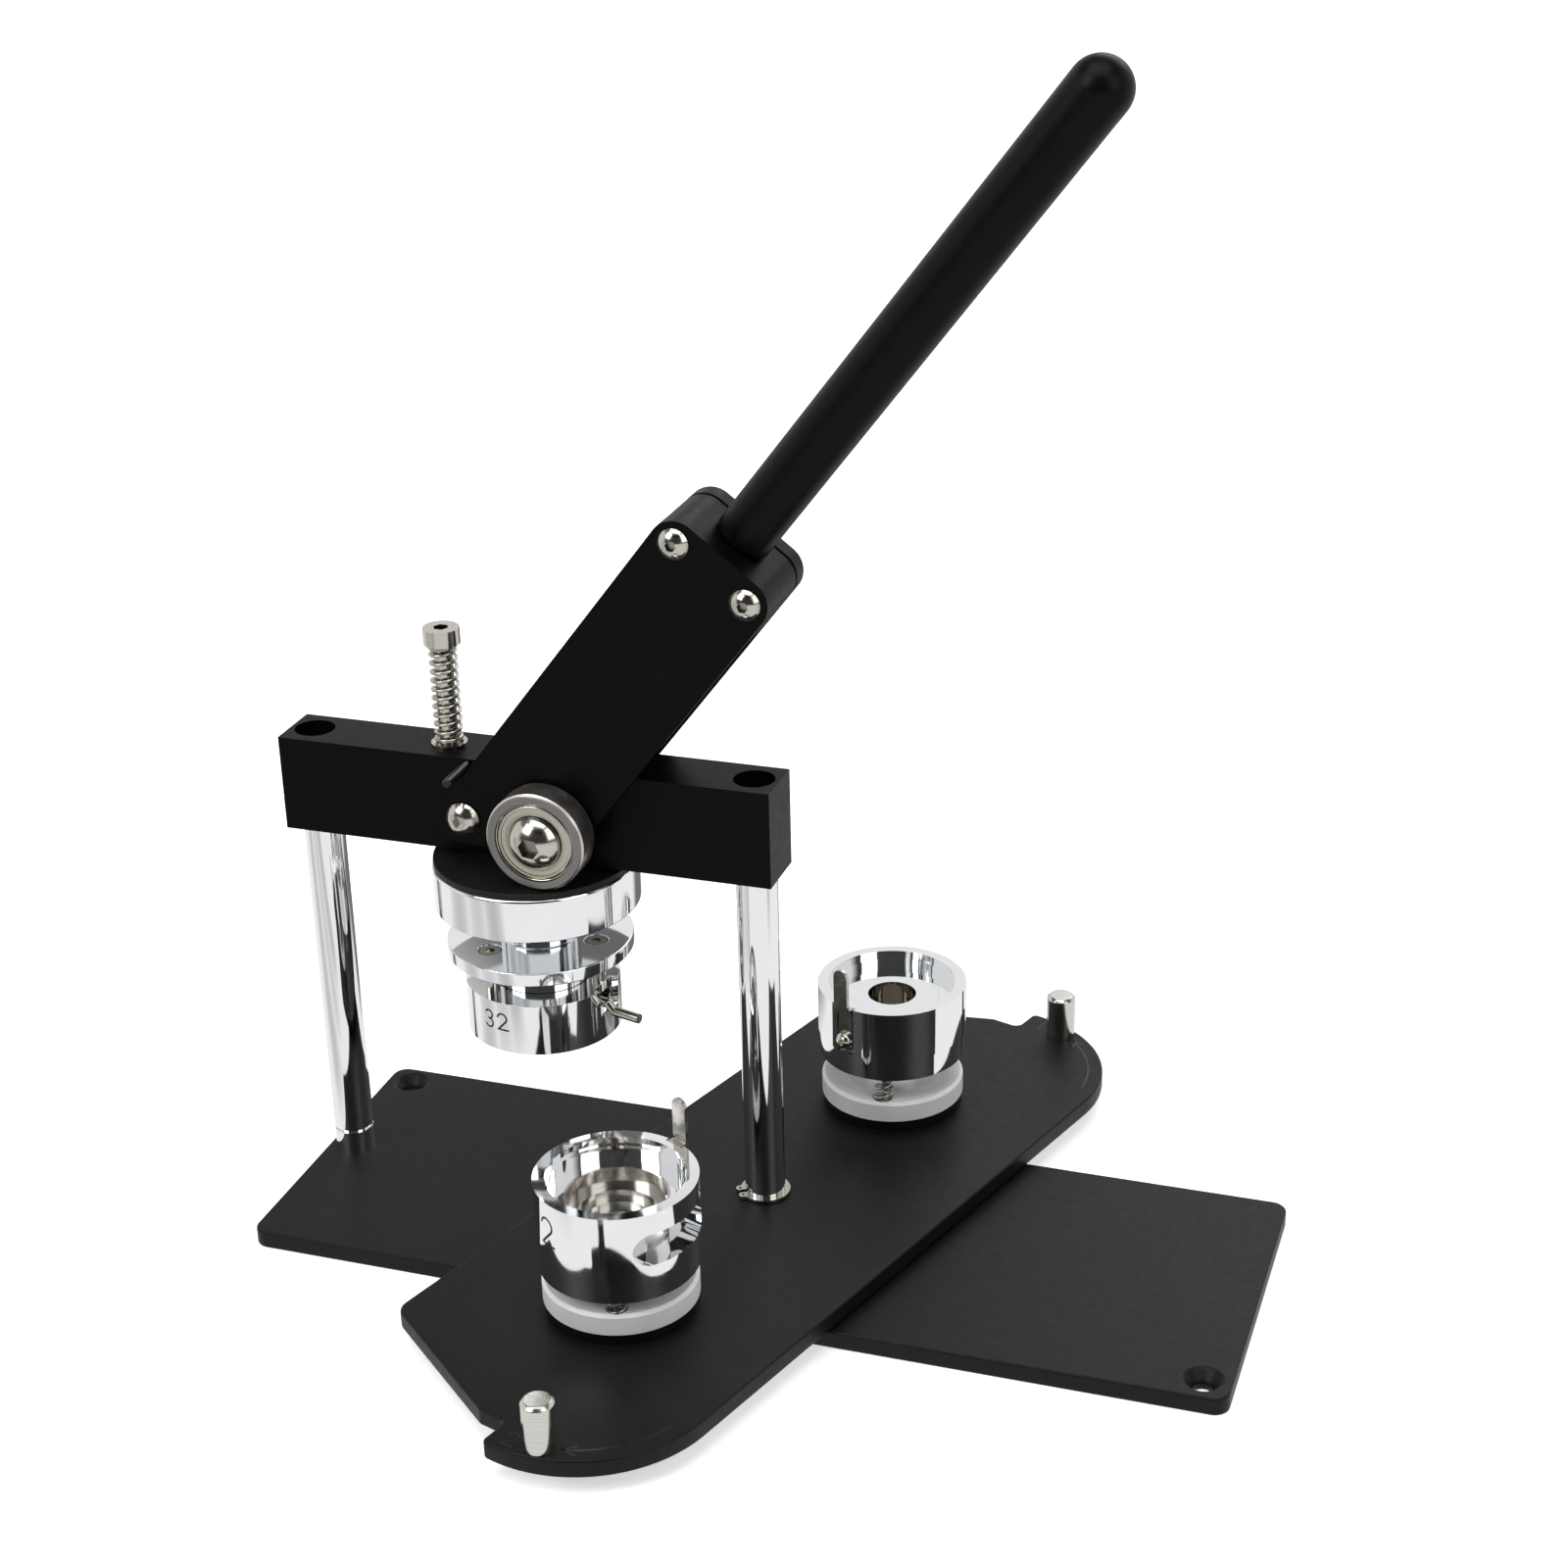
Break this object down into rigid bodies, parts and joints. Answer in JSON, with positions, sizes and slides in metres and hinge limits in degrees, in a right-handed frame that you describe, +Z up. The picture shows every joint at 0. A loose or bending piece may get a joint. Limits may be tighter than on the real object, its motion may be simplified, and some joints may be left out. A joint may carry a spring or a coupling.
{
  "type": "button badge maker press",
  "caption": "Hand lever press for pin badges: chromed upper die on a sprung ram above a swivelling plate that carries two lower dies.",
  "frame": {"origin": "midpoint between the two mounting holes, on the underside of the base plate", "axes": "+X along the crossbar from the press to the swivel side, +Y to the back, +Z up"},
  "size_m": [0.318, 0.29, 0.377],
  "materials": {
    "black_paint": "satin black powder coat",
    "black_satin": "smooth satin black anodised aluminium",
    "black_grip": "fine textured black",
    "chrome": "bright plated",
    "nickel": "nickel plated",
    "steel": "ground steel",
    "spring_steel": "drawn wire",
    "black_steel": "blackened steel",
    "white_plastic": "smooth white",
    "black_pad": "dull black",
    "shield": "yellowish plated"
  },
  "bodies": {
    "frame": {"base_plate": "black_paint", "left_post": "chrome", "right_post": "chrome", "post_foot_screws": "black_steel", "crossbar": "black_satin", "post_top_screws": "black_steel", "pivot_pin": "steel", "pivot_screws": "nickel", "stop_pin": "black_steel", "guide_bushes": "nickel", "return_springs": "spring_steel", "swivel_washer": "nickel", "swivel_circlip": "nickel"},
    "swivel": {"swivel_plate": "black_paint", "finger_pin_1": "nickel", "finger_pin_2": "nickel", "die_mount_screws": "black_steel", "die_1_foot": "black_paint", "die_1_seat": "white_plastic", "die_1_core": "chrome", "die_1_keeper": "steel", "die_1_springs": "spring_steel", "die_2_foot": "black_paint", "die_2_seat": "white_plastic", "die_2_core": "nickel", "die_2_keeper": "steel", "die_2_springs": "spring_steel"},
    "die_1_slider": {"die_1_ring": "chrome", "die_1_tab": "nickel", "die_1_tab_screw": "nickel"},
    "die_2_slider": {"die_2_ring": "chrome", "die_2_tab": "nickel", "die_2_tab_screw": "nickel"},
    "ram": {"press_pad": "black_pad", "press_disc": "chrome", "guide_screws": "nickel", "upper_flange": "chrome", "punch_core": "chrome", "ram_screw": "black_steel"},
    "skirt": {"skirt": "chrome", "skirt_screws": "nickel", "skirt_cover": "chrome"},
    "pickup": {"cam_ring": "steel", "pickup_pin": "nickel"},
    "lever": {"lever_plate_front": "black_satin", "lever_plate_rear": "black_satin", "lever_block": "black_satin", "lever_screws": "nickel", "handle_rod": "black_grip", "handle_stud": "steel", "bearing_bolts": "nickel", "bearing_spacers": "steel", "bearing_inner_rings": "steel", "bearing_balls": "chrome"},
    "front_bearing": {"front_bearing_outer": "steel", "front_bearing_shields": "shield"},
    "rear_bearing": {"rear_bearing_outer": "steel", "rear_bearing_shields": "shield"}
  },
  "joints": [
    {"name": "lever_pivot", "type": "hinge", "parent": "frame", "child": "lever", "pos_m": [-0.0929, 0.0045, 0.1419], "axis": [0, 1, 0], "range_deg": [0, 40]},
    {"name": "ram_slide", "type": "slide", "parent": "frame", "child": "ram", "axis": [0, 0, -1], "range_m": [0, 0.0189], "stiffness_N_per_m": 6000, "springref_m": -0.012, "deforming": ["return_springs"]},
    {"name": "front_bearing_spin", "type": "hinge", "parent": "lever", "child": "front_bearing", "pos_m": [-0.0647, 0.0045, 0.1419], "axis": [0, 1, 0], "continuous": true},
    {"name": "rear_bearing_spin", "type": "hinge", "parent": "lever", "child": "rear_bearing", "pos_m": [-0.0647, 0.0045, 0.1419], "axis": [0, 1, 0], "continuous": true},
    {"name": "skirt_slide", "type": "slide", "parent": "ram", "child": "skirt", "axis": [0, 0, 1], "range_m": [0, 0.008]},
    {"name": "pickup_swing", "type": "hinge", "parent": "skirt", "child": "pickup", "pos_m": [-0.077, 0.0045, 0.0779], "axis": [0, 0, 1], "range_deg": [0, 16.5]},
    {"name": "swivel_turn", "type": "hinge", "parent": "frame", "child": "swivel", "pos_m": [-0.003, 0.0045, 0.0065], "axis": [0, 0, 1], "range_deg": [-72.5, 107.5]},
    {"name": "die_1_slide", "type": "slide", "parent": "swivel", "child": "die_1_slider", "axis": [0, 0, -1], "range_m": [0, 0.0085], "stiffness_N_per_m": 3000, "springref_m": -0.003, "deforming": ["die_1_springs"]},
    {"name": "die_2_slide", "type": "slide", "parent": "swivel", "child": "die_2_slider", "axis": [0, 0, -1], "range_m": [0, 0.0042], "stiffness_N_per_m": 3000, "springref_m": -0.003, "deforming": ["die_2_springs"]}
  ],
  "couplings": [
    {"joint": "ram_slide", "follows": "lever_pivot", "m_per_rad": 0.02706}
  ]
}
